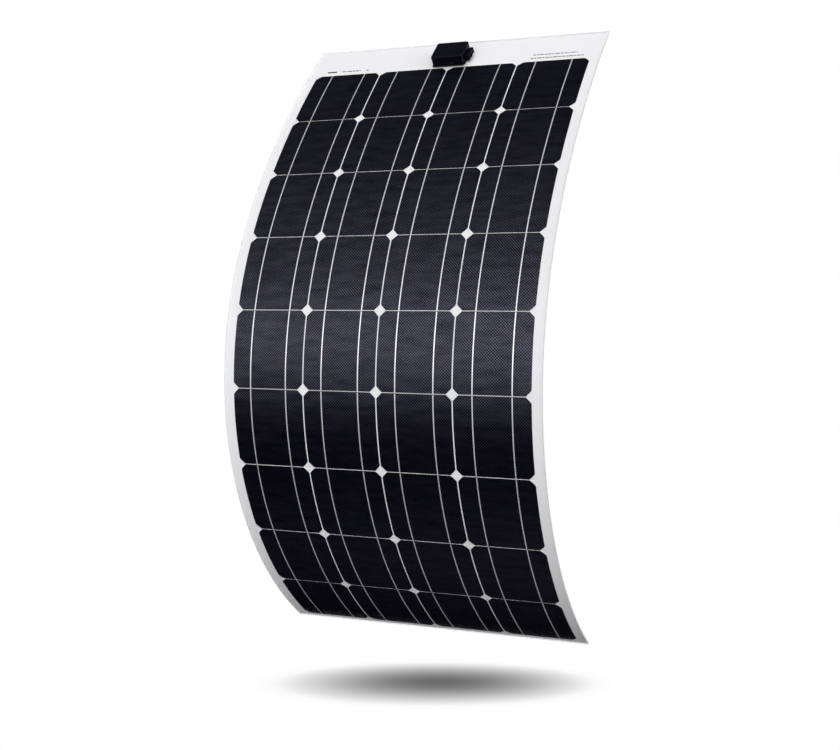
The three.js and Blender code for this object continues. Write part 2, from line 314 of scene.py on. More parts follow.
# Flat pieces hold X across the sheet, Y along it and Z out of its front; this lays them on the guide and
# keeps their flat places as a UV map, which the patterns on them follow.
bend_tree, given, result = new_tree("lay on the bend", Geometry="Geometry", Guide="Object")
place = bend_tree.nodes.new("GeometryNodeInputPosition").outputs[0]
flat = add(bend_tree, "GeometryNodeStoreNamedAttribute", given["Geometry"], True, "flat", place,
           data_type="FLOAT2", domain="CORNER").outputs[0]
split = add(bend_tree, "ShaderNodeSeparateXYZ", place).outputs
line = add(bend_tree, "GeometryNodeObjectInfo", given["Guide"]).outputs["Geometry"]
sample = add(bend_tree, "GeometryNodeSampleCurve", mode="LENGTH")
bend_tree.links.new(line, sample.inputs["Curves"])
feed(bend_tree, number(bend_tree, "ADD", split["Y"], GUIDE_REACH), sample.inputs["Length"])
across = add(bend_tree, "ShaderNodeCombineXYZ", split["X"]).outputs[0]
forward = vector(bend_tree, "CROSS_PRODUCT", (1.0, 0.0, 0.0), sample.outputs["Tangent"])
lifted = add(bend_tree, "ShaderNodeVectorMath", forward, operation="SCALE")
feed(bend_tree, split["Z"], lifted.inputs["Scale"])
on_guide = vector(bend_tree, "ADD", sample.outputs["Position"], lifted.outputs["Vector"])
bent = add(bend_tree, "GeometryNodeSetPosition", flat, True, vector(bend_tree, "ADD", across, on_guide))
bend_tree.links.new(bent.outputs[0], result)


def finish_tree(tree, given, geometry, result, edge=None):
    """Lays a flat shape on the bend, in its material; edge is the material of the faces that it marks."""
    if edge:
        geometry = add(tree, "GeometryNodeStoreNamedAttribute", geometry, True, "edge", edge[1],
                       data_type="BOOLEAN", domain="FACE").outputs[0]
    laid = add(tree, "GeometryNodeGroup", geometry, given["Guide"], node_tree=bend_tree)
    realised = add(tree, "GeometryNodeRealizeInstances", laid.outputs[0])
    painted = add(tree, "GeometryNodeSetMaterial", realised.outputs[0], True, given["Material"])
    if edge:
        mark = add(tree, "GeometryNodeInputNamedAttribute", "edge", data_type="BOOLEAN")
        at_edge = next(socket for socket in mark.outputs if socket.enabled)
        painted = add(tree, "GeometryNodeSetMaterial", painted.outputs[0], at_edge, edge[0])
    tree.links.new(painted.outputs[0], result)


def sides(tree, y):
    """Marks the faces along the sheet's outer edges, but not those where two lengths meet."""
    normal = add(tree, "ShaderNodeSeparateXYZ", tree.nodes.new("GeometryNodeInputNormal").outputs[0]).outputs
    at_side = number(tree, "GREATER_THAN", number(tree, "ABSOLUTE", normal["X"]), SIDE_FACE)
    above = number(tree, "GREATER_THAN", y, sheet_top - END_REACH)
    below = number(tree, "LESS_THAN", y, sheet_bottom + END_REACH)
    return number(tree, "GREATER_THAN", number(tree, "ADD", at_side, number(tree, "ADD", above, below)), 0.5)


def slab(tree, width, start, end, layer):
    """A flat closed slab from start to end along the sheet, with a station at every step."""
    length = number(tree, "SUBTRACT", end, start)
    stations = number(tree, "CEIL", number(tree, "DIVIDE", length, STEP))
    thickness = number(tree, "SUBTRACT", layer[1], layer[0])
    size = add(tree, "ShaderNodeCombineXYZ", width, length, thickness).outputs[0]
    cube = add(tree, "GeometryNodeMeshCube", size, 2, number(tree, "ADD", stations, 1.0), 2).outputs["Mesh"]
    middle = number(tree, "MULTIPLY", number(tree, "ADD", start, end), 0.5)
    height = number(tree, "MULTIPLY", number(tree, "ADD", layer[0], layer[1]), 0.5)
    centre = add(tree, "ShaderNodeCombineXYZ", 0.0, middle, height).outputs[0]
    moved = add(tree, "GeometryNodeSetPosition", cube)
    feed(tree, centre, moved.inputs["Offset"])
    return moved.outputs[0]


def smooth(piece):
    piece.data.shade_smooth()
    piece.data.set_sharp_from_angle(angle=math.radians(SHARP_EDGE))
    return piece


def make(name, tree, mesh=None, **values):
    """Runs a tree, on a flat mesh if there is one, and keeps its result as a plain mesh object."""
    piece = bpy.data.objects.new(name, mesh or bpy.data.meshes.new(name))
    bpy.context.scene.collection.objects.link(piece)
    modifier = piece.modifiers.new("tree", "NODES")
    modifier.node_group = tree
    values["Guide"] = guide
    for item in tree.interface.items_tree:
        if item.in_out == "INPUT" and item.name != "Geometry":
            modifier[item.identifier] = values[item.name.replace(" ", "_")]
    bpy.context.view_layer.update()
    evaluated = piece.evaluated_get(bpy.context.evaluated_depsgraph_get())
    made = bpy.data.meshes.new_from_object(evaluated)
    piece.modifiers.clear()
    piece.data = made
    made.name = name
    return smooth(piece)


sheet_tree, given, result = new_tree(
    "sheet length", Guide="Object", Width="Float", Start="Float", End="Float", Back="Float", Front="Float",
    Material="Material", Edge_Material="Material",
)
length = slab(sheet_tree, given["Width"], given["Start"], given["End"], (given["Back"], given["Front"]))
place = sheet_tree.nodes.new("GeometryNodeInputPosition").outputs[0]
x, y, z = add(sheet_tree, "ShaderNodeSeparateXYZ", place).outputs
to_end = number(sheet_tree, "MINIMUM", number(sheet_tree, "SUBTRACT", sheet_top, y),
                number(sheet_tree, "SUBTRACT", y, sheet_bottom))
inset = number(sheet_tree, "MAXIMUM", number(sheet_tree, "SUBTRACT", CORNER_RADIUS, to_end), 0.0)
arc = number(sheet_tree, "SQRT", number(sheet_tree, "SUBTRACT", CORNER_RADIUS**2,
                                        number(sheet_tree, "POWER", inset, 2.0)))
straight = number(sheet_tree, "MULTIPLY_ADD", given["Width"], 0.5, -CORNER_RADIUS)
half_width = number(sheet_tree, "ADD", straight, arc)
rounded_x = number(sheet_tree, "MULTIPLY", number(sheet_tree, "SIGN", x), half_width)
rounded = add(sheet_tree, "ShaderNodeCombineXYZ", rounded_x, y, z).outputs[0]
rounded = add(sheet_tree, "GeometryNodeSetPosition", length, True, rounded).outputs[0]
normal = sheet_tree.nodes.new("GeometryNodeInputNormal").outputs[0]
normal = add(sheet_tree, "ShaderNodeSeparateXYZ", normal).outputs
to_front = number(sheet_tree, "GREATER_THAN", normal["Z"], FRONT_FACE)
marked = add(sheet_tree, "GeometryNodeStoreNamedAttribute", rounded, True, "front", to_front,
             data_type="FLOAT", domain="FACE").outputs[0]
finish_tree(sheet_tree, given, marked, result, edge=(given["Edge Material"], sides(sheet_tree, y)))


def row_middle(row):
    return ((ROWS + 1) / 2 - row) * CELL_PITCH


def row_ends(row, join):
    edge = (CELL_PITCH - join) / 2
    start = sheet_bottom if row == ROWS else row_middle(row) - edge
    end = sheet_top if row == 1 else row_middle(row) + edge
    return start, end


def on_row(piece, row, nodes):
    """Fastens a piece to its row, hides the CAD parts that it stands for, and gives it a mesh of its own."""
    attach(piece, f"row_{row}")
    if nodes:
        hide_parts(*nodes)
    low = sheet_point(row_middle(row) - CELL_PITCH / 2, FRONT_HEIGHT)
    high = sheet_point(row_middle(row) + CELL_PITCH / 2, FRONT_HEIGHT)
    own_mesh(piece)


def near(tree, value, centre, half, soft):
    """1 where a value is within half of the centre, falling to 0 over the soft distance outside."""
    apart = number(tree, "ABSOLUTE", number(tree, "SUBTRACT", value, centre))
    return eased(tree, apart, half, half + soft, 1.0, 0.0)


def on_sheet(tree):
    """A point's flat place on the sheet, in metres, which the patterns on it follow."""
    return add(tree, "ShaderNodeUVMap", uv_map="flat").outputs[0]


def noise(tree, place, per_metre, detail=2.0):
    return add(tree, "ShaderNodeTexNoise", place, per_metre, detail).outputs["Fac"]


def bumped(tree, height, depth):
    """The normals of a relief, which stands out by the depth where its height is 1."""
    bump = add(tree, "ShaderNodeBump", 1.0, depth)
    feed(tree, height, bump.inputs["Height"])
    return bump.outputs[0]


def roughen(tree, shader, share, *roughness):
    """One roughness where the share is 0, and the other where it is 1."""
    start, end = roughness
    feed(tree, number(tree, "MULTIPLY_ADD", share, end - start, start), shader.inputs["Roughness"])


# Pressed in the laminator, the sheet shows the cells and their ribbons as a faint relief on the back, where
# they also show through it as a slightly greyer square.
CELL_RELIEF = (0.0612, 0.0022)  # half its width, and the width of its soft edge
RIBBON_RELIEF = (0.0008, 0.0012)
RIBBON_OFFSET = 0.03125
RIBBON_RELIEF_SHARE = 0.5
MARGIN_EDGE = 0.0005
GRAINS_PER_METRE = 1400.0
GRAIN_SHARE = 0.06
WAVES_PER_METRE = 22.0
WAVE_SHARE = 0.75
RELIEF_DEPTH = 0.0004
SHEET_ROUGHNESS = (0.42, 0.58)
SHEET_WHITE = (0.77, 0.77, 0.79)
SHEET_OVER_CELLS = (0.67, 0.67, 0.70)

white_sheet, tree, shader = new_material("white polyester", SHEET_WHITE)
place = on_sheet(tree)
split = add(tree, "ShaderNodeSeparateXYZ", place).outputs
columns = number(tree, "FRACT", number(tree, "DIVIDE", split["X"], CELL_PITCH))
rows = number(tree, "FRACT", number(tree, "MULTIPLY_ADD", split["Y"], 1 / CELL_PITCH, 0.5))
cell_edges, ribbon_edges = ([reach / CELL_PITCH for reach in relief] for relief in (CELL_RELIEF, RIBBON_RELIEF))
over_cell = number(tree, "MULTIPLY", *(near(tree, cells, 0.5, *cell_edges) for cells in (columns, rows)))
ribbon_lines = [near(tree, columns, 0.5 + way * RIBBON_OFFSET / CELL_PITCH, *ribbon_edges) for way in (-1, 1)]
relief = number(tree, "MULTIPLY_ADD", number(tree, "ADD", *ribbon_lines), RIBBON_RELIEF_SHARE, over_cell)
in_columns = near(tree, split["X"], 0.0, COLUMNS / 2 * CELL_PITCH, MARGIN_EDGE)
in_rows = near(tree, split["Y"], 0.0, ROWS / 2 * CELL_PITCH, MARGIN_EDGE)
relief = number(tree, "MULTIPLY", relief, number(tree, "MULTIPLY", in_columns, in_rows))
grain = noise(tree, place, GRAINS_PER_METRE, detail=3.0)
height = number(tree, "MULTIPLY_ADD", grain, GRAIN_SHARE, relief)
height = number(tree, "MULTIPLY_ADD", noise(tree, place, WAVES_PER_METRE, detail=1.0), WAVE_SHARE, height)
feed(tree, bumped(tree, height, RELIEF_DEPTH), shader.inputs["Normal"])
roughen(tree, shader, grain, *SHEET_ROUGHNESS)
front = add(tree, "ShaderNodeAttribute", attribute_name="front").outputs["Fac"]
through = number(tree, "MULTIPLY", relief, number(tree, "SUBTRACT", 1.0, front))
feed(tree, mixed(tree, through, SHEET_WHITE, SHEET_OVER_CELLS), shader.inputs["Base Color"])

for row in range(1, ROWS + 1):
    start, end = row_ends(row, BACK_SHEET_JOIN)
    low, high = BACK_SHEET_LAYER
    piece = make(f"white_sheet_{row}", sheet_tree, Width=SHEET_WIDTH, Start=start, End=end, Back=low, Front=high,
                 Material=white_sheet, Edge_Material=white_sheet)
    on_row(piece, row, [f"back_sheet_row_{row}"])

# ---- Cells --------------------------------------------------------------------------------------------------
# Each cell is a thin plate of silicon with a dark anti-reflection coating, sawn square from a round wafer,
# whose edge is still seen at the four corners. Fine silver fingers are printed across it.
WAFER_RADIUS = 0.0825
CELL_LAYER = (0.0015, 0.0017)
FINGER_PITCH = 0.0022
FINGER_SHARE = 0.05
FINGER_COLOR = (0.012, 0.012, 0.017)

cell_tree, given, result = new_tree(
    "cell", Guide="Object", Width="Float", Length="Float", Wafer_Radius="Float", Across="Float", Along="Float",
    Back="Float", Front="Float", Material="Material",
)
half_length = number(cell_tree, "MULTIPLY", given["Length"], 0.5)
plate = slab(cell_tree, given["Width"], number(cell_tree, "MULTIPLY", half_length, -1.0), half_length,
             (given["Back"], given["Front"]))
place = cell_tree.nodes.new("GeometryNodeInputPosition").outputs[0]
x, y, z = add(cell_tree, "ShaderNodeSeparateXYZ", place).outputs
wafer_edge = number(cell_tree, "SQRT", number(
    cell_tree, "SUBTRACT", number(cell_tree, "MULTIPLY", given["Wafer Radius"], given["Wafer Radius"]),
    number(cell_tree, "MULTIPLY", y, y)))
half_width = number(cell_tree, "MINIMUM", number(cell_tree, "MULTIPLY", given["Width"], 0.5), wafer_edge)
sawn_x = number(cell_tree, "MULTIPLY_ADD", number(cell_tree, "SIGN", x), half_width, given["Across"])
sawn_y = number(cell_tree, "ADD", y, given["Along"])
sawn = add(cell_tree, "ShaderNodeCombineXYZ", sawn_x, sawn_y, z).outputs[0]
sawn = add(cell_tree, "GeometryNodeSetPosition", plate, True, sawn).outputs[0]
finish_tree(cell_tree, given, sawn, result)


def new_effect(name, takes, gives):
    """An empty shader node group, with the names and kinds of what it takes and gives."""
    group = bpy.data.node_groups.new(name, "ShaderNodeTree")
    for way, sockets in (("INPUT", takes), ("OUTPUT", gives)):
        for socket, kind in sockets.items():
            group.interface.new_socket(socket, in_out=way, socket_type="NodeSocket" + kind)
    return group, group.nodes.new("NodeGroupInput").outputs, group.nodes.new("NodeGroupOutput").inputs


# The film over the cells is embossed with a lattice of shallow dots. The coating glints where they stand, partly
# through its reflection and partly as a glint painted lighter into its colour.
EMBOSS_PITCH = 0.0046
EMBOSS_DEPTH = 0.00030

emboss_dots, given, result = new_effect(
    "embossed dots", {"Place": "Vector", "Pitch": "Float"}, {"Height": "Float"},
)
around = number(emboss_dots, "DIVIDE", 2 * math.pi, given["Pitch"])
split = add(emboss_dots, "ShaderNodeSeparateXYZ", given["Place"]).outputs
ridges = [number(emboss_dots, "COSINE", number(emboss_dots, "MULTIPLY", split[axis], around)) for axis in "XY"]
lattice = number(emboss_dots, "MULTIPLY", *ridges)
feed(emboss_dots, number(emboss_dots, "MULTIPLY_ADD", lattice, 0.5, 0.5), result["Height"])


def emboss(tree, shader):
    """Embosses a surface, and gives the height of its dots."""
    dots = add(tree, "ShaderNodeGroup", on_sheet(tree), EMBOSS_PITCH, node_tree=emboss_dots).outputs["Height"]
    feed(tree, bumped(tree, dots, EMBOSS_DEPTH), shader.inputs["Normal"])
    return dots


DOT_ROUGHNESS = 0.28
VALLEY_ROUGHNESS = 0.34
# The dots are painted lighter than the valleys between them, a painted glint for the light that the embossed film
# throws back there.
PAINTED_GLINT_DOT_COLOR = (0.0050, 0.0047, 0.0170)
VALLEY_COLOR = (0.0012, 0.0011, 0.0068)
COATING_TINT = (0.85, 0.85, 1.0)
STREAKS_PER_METRE = (22.0, 85.0, 1.0)
STREAK_STRENGTH = 2.0

silicon, tree, shader = new_material(
    "coated silicon", PAINTED_GLINT_DOT_COLOR, IOR=1.65, Specular_IOR_Level=0.95, Specular_Tint=(*COATING_TINT, 1.0),
)
dots = emboss(tree, shader)
place = on_sheet(tree)
streaked = tree.nodes.new("ShaderNodeMapping")
streaked.inputs["Scale"].default_value = STREAKS_PER_METRE
feed(tree, place, streaked.inputs["Vector"])
streaks = number(tree, "MULTIPLY", noise(tree, streaked.outputs[0], 1.0, detail=3.0), STREAK_STRENGTH)
glint = number(tree, "MULTIPLY", number(tree, "MULTIPLY", dots, dots), streaks)
feed(tree, number(tree, "SUBTRACT", 1.0, glint), shader.inputs["Metallic"])
roughen(tree, shader, dots, VALLEY_ROUGHNESS, DOT_ROUGHNESS)
along = add(tree, "ShaderNodeSeparateXYZ", place).outputs["Y"]
on_finger = number(tree, "LESS_THAN", number(tree, "FRACT", number(tree, "DIVIDE", along, FINGER_PITCH)),
                   FINGER_SHARE)
# Painted glints: the coating's colour is painted lighter on the dots.
coated = mixed(tree, dots, VALLEY_COLOR, PAINTED_GLINT_DOT_COLOR)
feed(tree, mixed(tree, on_finger, coated, FINGER_COLOR), shader.inputs["Base Color"])

for row in range(1, ROWS + 1):
    for column in range(1, COLUMNS + 1):
        across = (column - (COLUMNS + 1) / 2) * CELL_PITCH
        piece = make(f"silicon_cell_r{row}_c{column}", cell_tree, Width=CELL_WIDTH, Length=CELL_LENGTH,
                     Wafer_Radius=WAFER_RADIUS, Across=across, Along=row_middle(row), Back=CELL_LAYER[0],
                     Front=CELL_LAYER[1], Material=silicon)
        on_row(piece, row, [f"cell_r{row}_c{column}"])

# ---- Tabbing ribbons ----------------------------------------------------------------------------------------
# Two flat tinned copper ribbons are soldered down the front of every cell. Between two rows each one dips
# and runs on behind the next cell, which joins the cells of a column in series.
RIBBON_WIDTH = 0.0018
RIBBON_THICKNESS = 0.00015
RIBBON_FRONT = 0.00172
RIBBON_BEHIND = 0.00134
RIBBON_TAIL = 0.006
RIBBON_DROP = 0.0005  # the length over which a ribbon dips at a cell's edge
RIBBON_END = 0.001  # from a ribbon's upper end to the edge of its cell
RIBBON_JOIN = 0.0002
SOLDER_DABS_PER_METRE = 240.0
SOLDER_ROUGHNESS = (0.28, 0.58)
SOLDER_DULL = (0.84, 0.84, 0.86)
SOLDER_BRIGHT = (0.95, 0.95, 0.97)

ribbon_tree, given, result = new_tree(
    "ribbons", Guide="Object", Start="Float", End="Float", Low="Float", High="Float", Drop_Low="Float",
    Drop_High="Float", Material="Material",
)
strip = slab(ribbon_tree, RIBBON_WIDTH, given["Start"], given["End"], (0.0, RIBBON_THICKNESS))
spots = add(ribbon_tree, "GeometryNodeMeshLine", mode="OFFSET")
spots.inputs["Count"].default_value = 2 * COLUMNS
spots.inputs["Start Location"].default_value = (-(COLUMNS - 1) / 2 * CELL_PITCH - RIBBON_OFFSET, 0.0, 0.0)
spots.inputs["Offset"].default_value = (CELL_PITCH / 2, 0.0, 0.0)
strips = add(ribbon_tree, "GeometryNodeInstanceOnPoints")
ribbon_tree.links.new(spots.outputs[0], strips.inputs["Points"])
ribbon_tree.links.new(strip, strips.inputs["Instance"])
loose = add(ribbon_tree, "GeometryNodeRealizeInstances", strips.outputs[0])
place = ribbon_tree.nodes.new("GeometryNodeInputPosition").outputs[0]
y = add(ribbon_tree, "ShaderNodeSeparateXYZ", place).outputs["Y"]
height = eased(ribbon_tree, y, given["Drop Low"], given["Drop High"], given["Low"], given["High"])
lifted = add(ribbon_tree, "GeometryNodeSetPosition", loose.outputs[0])
feed(ribbon_tree, add(ribbon_tree, "ShaderNodeCombineXYZ", 0.0, 0.0, height).outputs[0], lifted.inputs["Offset"])
finish_tree(ribbon_tree, given, lifted.outputs[0], result)

tinned, tree, shader = new_material("tinned copper", SOLDER_DULL, Metallic=0.65)
dabs = noise(tree, on_sheet(tree), SOLDER_DABS_PER_METRE)
roughen(tree, shader, dabs, *SOLDER_ROUGHNESS)
feed(tree, mixed(tree, dabs, SOLDER_DULL, SOLDER_BRIGHT), shader.inputs["Base Color"])

HALF_GAP = (CELL_PITCH - CELL_LENGTH) / 2
for row in range(1, ROWS + 1):
    low = row_middle(row) - CELL_LENGTH / 2
    high = row_middle(row) + CELL_LENGTH / 2
    dip = (RIBBON_FRONT + RIBBON_BEHIND) / 2
    front = make(f"front_ribbons_{row}", ribbon_tree, Start=low - HALF_GAP + RIBBON_JOIN, End=high - RIBBON_END,
                 Low=dip, High=RIBBON_FRONT, Drop_Low=low - HALF_GAP, Drop_High=low + RIBBON_DROP,
                 Material=tinned)
    on_row(front, row, [])
    if row > 1:
        tails = make(f"ribbon_tails_{row}", ribbon_tree, Start=high - RIBBON_TAIL,
                     End=high + HALF_GAP - RIBBON_JOIN, Low=RIBBON_BEHIND, High=dip,
                     Drop_Low=high - RIBBON_DROP, Drop_High=high + HALF_GAP, Material=tinned)
        on_row(tails, row, [])

# ---- Front film ---------------------------------------------------------------------------------------------
# A clear polymer film, with the soft encapsulant under it, covers the cells. Its face is embossed all over
# with a lattice of shallow dots, which spreads reflections into a broad satin sheen.
FILM_LAYER = (0.00125, FRONT_HEIGHT)
FILM_JOIN = 0.0003
FILM_SHARE = 0.12  # of the film's mirror that is its own, where the cells' coating carries the rest
FILM_INDEX = 1.48
FILM_TINT = (0.82, 0.82, 0.98)
KNIFE_MARKS_PER_METRE = 420.0
CUT_ROUGHNESS = (0.25, 0.65)
CUT_DARK = (0.70, 0.71, 0.74)
CUT_LIGHT = (0.88, 0.89, 0.92)

clear_film, tree, shader = new_material("embossed film", FILM_TINT, roughness=0.19, Metallic=1.0)
emboss(tree, shader)
mirror = tree.nodes.new("ShaderNodeFresnel")
mirror.inputs["IOR"].default_value = FILM_INDEX
front = add(tree, "ShaderNodeAttribute", attribute_name="front").outputs["Fac"]
outside = number(tree, "SUBTRACT", 1.0, tree.nodes.new("ShaderNodeNewGeometry").outputs["Backfacing"])
shown = number(tree, "MULTIPLY", number(tree, "MULTIPLY", mirror.outputs[0], front), outside)
feed(tree, number(tree, "MULTIPLY", shown, FILM_SHARE), shader.inputs["Alpha"])

# The trimmed edge shows the plies as a pale cut with short knife marks across it.
laminate_edge, tree, shader = new_material("laminate edge", CUT_LIGHT)
knife_marks = noise(tree, tree.nodes.new("ShaderNodeTexCoord").outputs["Object"], KNIFE_MARKS_PER_METRE, detail=4.0)
feed(tree, mixed(tree, knife_marks, CUT_DARK, CUT_LIGHT), shader.inputs["Base Color"])
roughen(tree, shader, knife_marks, *CUT_ROUGHNESS)

for row in range(1, ROWS + 1):
    start, end = row_ends(row, FILM_JOIN)
    low, high = FILM_LAYER
    piece = make(f"clear_film_{row}", sheet_tree, Width=SHEET_WIDTH, Start=start, End=end, Back=low, Front=high,
                 Material=clear_film, Edge_Material=laminate_edge)
    on_row(piece, row, [f"front_film_row_{row}"])

# ---- Printed marks ------------------------------------------------------------------------------------------
# Rows of plain dashes in black and grey ink stand on the white margin above the first row of cells, where the
# real sheet has small print. They lie on the back sheet, under the film.
INK_LAYER = (0.00121, 0.00123)
BLACK_BAR = ((-0.2370, 0.0120, 0.0190, 0.0036),)  # left end, height above the cells, length, thickness
GREY_DASH_WIDTHS = (0.0052, 0.0029, 0.0075, 0.0041, 0.0060, 0.0034, 0.0085, 0.0047)
GREY_LINES = (
    (-0.2070, 0.0118, 0.036, 0.0030), (-0.1600, 0.0112, 0.005, 0.0024),
    (0.1490, 0.0205, 0.078, 0.0024), (0.1470, 0.0105, 0.095, 0.0026),
)
DASH_GAP = 0.0016
SHORTEST_DASH = 0.0015
INK_SPECKS_PER_METRE = 1800.0
INK_SHADES = (0.7, 1.4)
BLACK_INK = (0.006, 0.006, 0.008)
GREY_INK = (0.09, 0.09, 0.105)


def shades(color, factors):
    """A darker and a lighter shade of a colour."""
    return [[factor * part for part in color] for factor in factors]


def dashes(left, above, length, thickness):
    """Cuts a line of print into dashes of uneven widths."""
    start, i = left, 0
    while start < left + length - SHORTEST_DASH:
        width = min(GREY_DASH_WIDTHS[i % len(GREY_DASH_WIDTHS)], left + length - start)
        yield start, above, width, thickness
        start += width + DASH_GAP
        i += 1


def ink(name, bars, color):
    """Prints bars on the white margin in one ink."""
    shape = bmesh.new()
    low, high = INK_LAYER
    cells_top = row_middle(1) + CELL_LENGTH / 2
    for left, above, length, thickness in bars:
        place = Vector((left + length / 2, cells_top + above, (low + high) / 2))
        size = Matrix.Diagonal((length, thickness, high - low, 1.0))
        bmesh.ops.create_cube(shape, size=1.0, matrix=Matrix.Translation(place) @ size)
    mesh = bpy.data.meshes.new(name)
    shape.to_mesh(mesh)
    shape.free()
    printed, tree, shader = new_material(name, color, roughness=0.6)
    worn = noise(tree, on_sheet(tree), INK_SPECKS_PER_METRE)
    feed(tree, mixed(tree, worn, *shades(color, INK_SHADES)), shader.inputs["Base Color"])
    mesh.materials.append(printed)
    on_row(make(name, bend_tree, mesh), 1, [])


ink("black_ink", BLACK_BAR, BLACK_INK)
ink("grey_ink", [bar for line in GREY_LINES for bar in dashes(*line)], GREY_INK)

# ---- Junction box -------------------------------------------------------------------------------------------
# The black moulded box is bonded to the film above the middle of the first row. Its base, its lift-off lid and
# its cable outlet are injection moulded, with a fine spark-eroded grain and edges softened by the mould.
BOX_ALONG = 0.5975
BOX_HEIGHT = 0.0033
MOULD_RADIUS = 0.0005
BLACK = (0.0024, 0.0024, 0.0062)
MOTTLE_PER_METRE = 160.0
MOTTLE_SHADES = (0.75, 1.25)
MOTTLE_ROUGHNESS = 0.12

box_lean = lean(BOX_ALONG)
box_up = Vector((0.0, math.sin(box_lean), math.cos(box_lean)))
box_out = Vector((0.0, -math.cos(box_lean), math.sin(box_lean)))
box_place = Matrix((Vector((1.0, 0.0, 0.0)), box_up, box_out)).transposed().to_4x4()
box_place.translation = sheet_point(BOX_ALONG, BOX_HEIGHT)

grain_group, given, result = new_effect(
    "moulded grain", {"Place": "Vector", "Grains per Metre": "Float", "Depth": "Float"},
    {"Normal": "Vector", "Mottle": "Float"},
)
pebbles = add(grain_group, "ShaderNodeTexVoronoi", given["Place"], given["Grains per Metre"]).outputs["Distance"]
feed(grain_group, bumped(grain_group, pebbles, given["Depth"]), result["Normal"])
feed(grain_group, noise(grain_group, given["Place"], MOTTLE_PER_METRE, detail=4.0), result["Mottle"])


def moulded(name, color, roughness, grains, depth, specular=0.3):
    """A moulded plastic or rubber, whose roughness and colour vary a little over the surface."""
    material, tree, shader = new_material(name, color, roughness, Specular_IOR_Level=specular)
    place = tree.nodes.new("ShaderNodeTexCoord").outputs["Object"]
    grain = add(tree, "ShaderNodeGroup", place, grains, depth, node_tree=grain_group).outputs
    feed(tree, grain["Normal"], shader.inputs["Normal"])
    roughen(tree, shader, grain["Mottle"], roughness - MOTTLE_ROUGHNESS, roughness + MOTTLE_ROUGHNESS)
    feed(tree, mixed(tree, grain["Mottle"], *shades(color, MOTTLE_SHADES)), shader.inputs["Base Color"])
    return material


def take(node):
    """A copy of a CAD node's mesh, with its triangles merged back into faces."""
    shape = bmesh.new()
    shape.from_mesh(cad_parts[node].data)
    bmesh.ops.remove_doubles(shape, verts=shape.verts, dist=1e-6)
    bmesh.ops.dissolve_limit(shape, angle_limit=math.radians(1.0), verts=shape.verts, edges=shape.edges)
    return shape


def soften(shape, radius, segments=2):
    """Rounds every sharp edge."""
    sharp = [edge for edge in shape.edges if edge.is_manifold
             and edge.calc_face_angle(0.0) > math.radians(SHARP_EDGE)]
    bmesh.ops.bevel(shape, geom=sharp, offset=radius, offset_type="OFFSET", segments=segments, profile=0.5,
                    affect="EDGES", clamp_overlap=True)


def keep(name, shape, material, body, nodes=()):
    """Turns a finished shape into a piece on its body."""
    mesh = bpy.data.meshes.new(name)
    shape.to_mesh(mesh)
    shape.free()
    mesh.materials.clear()
    mesh.materials.append(material)
    piece = bpy.data.objects.new(name, mesh)
    bpy.context.scene.collection.objects.link(piece)
    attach(smooth(piece), body)
    if nodes:
        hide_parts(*nodes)
    return piece


black_plastic = moulded("black moulded plastic", BLACK, roughness=0.46, grains=1900.0, depth=0.00004,
                        specular=0.14)
for name, node, body in (
    ("box_base", "junction_box_base", "row_1"),
    ("outlet_housing", "cable_outlet", "row_1"),
    ("box_lid_shell", "junction_box_lid", "box_lid"),
):
    shape = take(node)
    soften(shape, MOULD_RADIUS)
    keep(name, shape, black_plastic, body, [node])

# A raised rim runs round the top of the lid, and a thin bead of black sealant squeezes out under the base.
LID_TOP = 0.018
RIM_SIZE = (0.0490, 0.0370)
RIM_RADIUS = 0.0030
RIM_WIDTH = 0.0007
RIM_RISE = 0.00035
BEAD_SIZE = (0.0592, 0.0472)
BEAD_RADIUS = 0.0045
BEAD_WIDTH = 0.0022
BEAD_RISE = 0.0008
SEALANT_BLACK = (0.008, 0.008, 0.010)


def band(size, radius, width, height, low):
    """A closed band of rounded section that follows a rectangle with round corners, on the box."""
    corner_steps, section_steps = 8, 10  # of each corner, and round the section
    half = Vector((size[0] / 2 - radius, size[1] / 2 - radius))
    path = []
    for corner, (sx, sy) in enumerate(((1, 1), (-1, 1), (-1, -1), (1, -1))):
        for i in range(corner_steps + 1):
            angle = math.radians(90 * corner + 90 * i / corner_steps)
            out = Vector((math.cos(angle), math.sin(angle)))
            path.append((Vector((sx * half.x, sy * half.y)) + radius * out, out))
    shape = bmesh.new()
    rings = []
    for place, out in path:
        ring = []
        for i in range(section_steps):
            angle = 2 * math.pi * i / section_steps
            spot = place + out * width / 2 * math.cos(angle)
            ring.append(shape.verts.new((spot.x, spot.y, low + height * math.sin(angle))))
        rings.append(ring)
    for ring, following in zip(rings, rings[1:] + rings[:1]):
        for i in range(section_steps):
            j = (i + 1) % section_steps
            shape.faces.new((ring[i], following[i], following[j], ring[j]))
    bmesh.ops.remove_doubles(shape, verts=shape.verts, dist=1e-7)
    bmesh.ops.recalc_face_normals(shape, faces=shape.faces)
    bmesh.ops.transform(shape, matrix=box_place, verts=shape.verts)
    return shape


sealant = moulded("black sealant", SEALANT_BLACK, roughness=0.34, grains=500.0, depth=0.00006, specular=0.45)
rim = band(RIM_SIZE, RIM_RADIUS, RIM_WIDTH, RIM_RISE, LID_TOP)
keep("lid_rim", rim, black_plastic, "box_lid")
bead = band(BEAD_SIZE, BEAD_RADIUS, BEAD_WIDTH, BEAD_RISE, 0.0)
keep("sealant_bead", bead, sealant, "row_1")

# ---- Lid seal -----------------------------------------------------------------------------------------------
# A ring of grey silicone, moulded in one piece, lies loose on the ledge inside the base's rim. The lid presses
# on it, which keeps rain away from the terminals.
SEAL_GREY = (0.19, 0.19, 0.20)
SEAL_ROUNDING = 0.0003

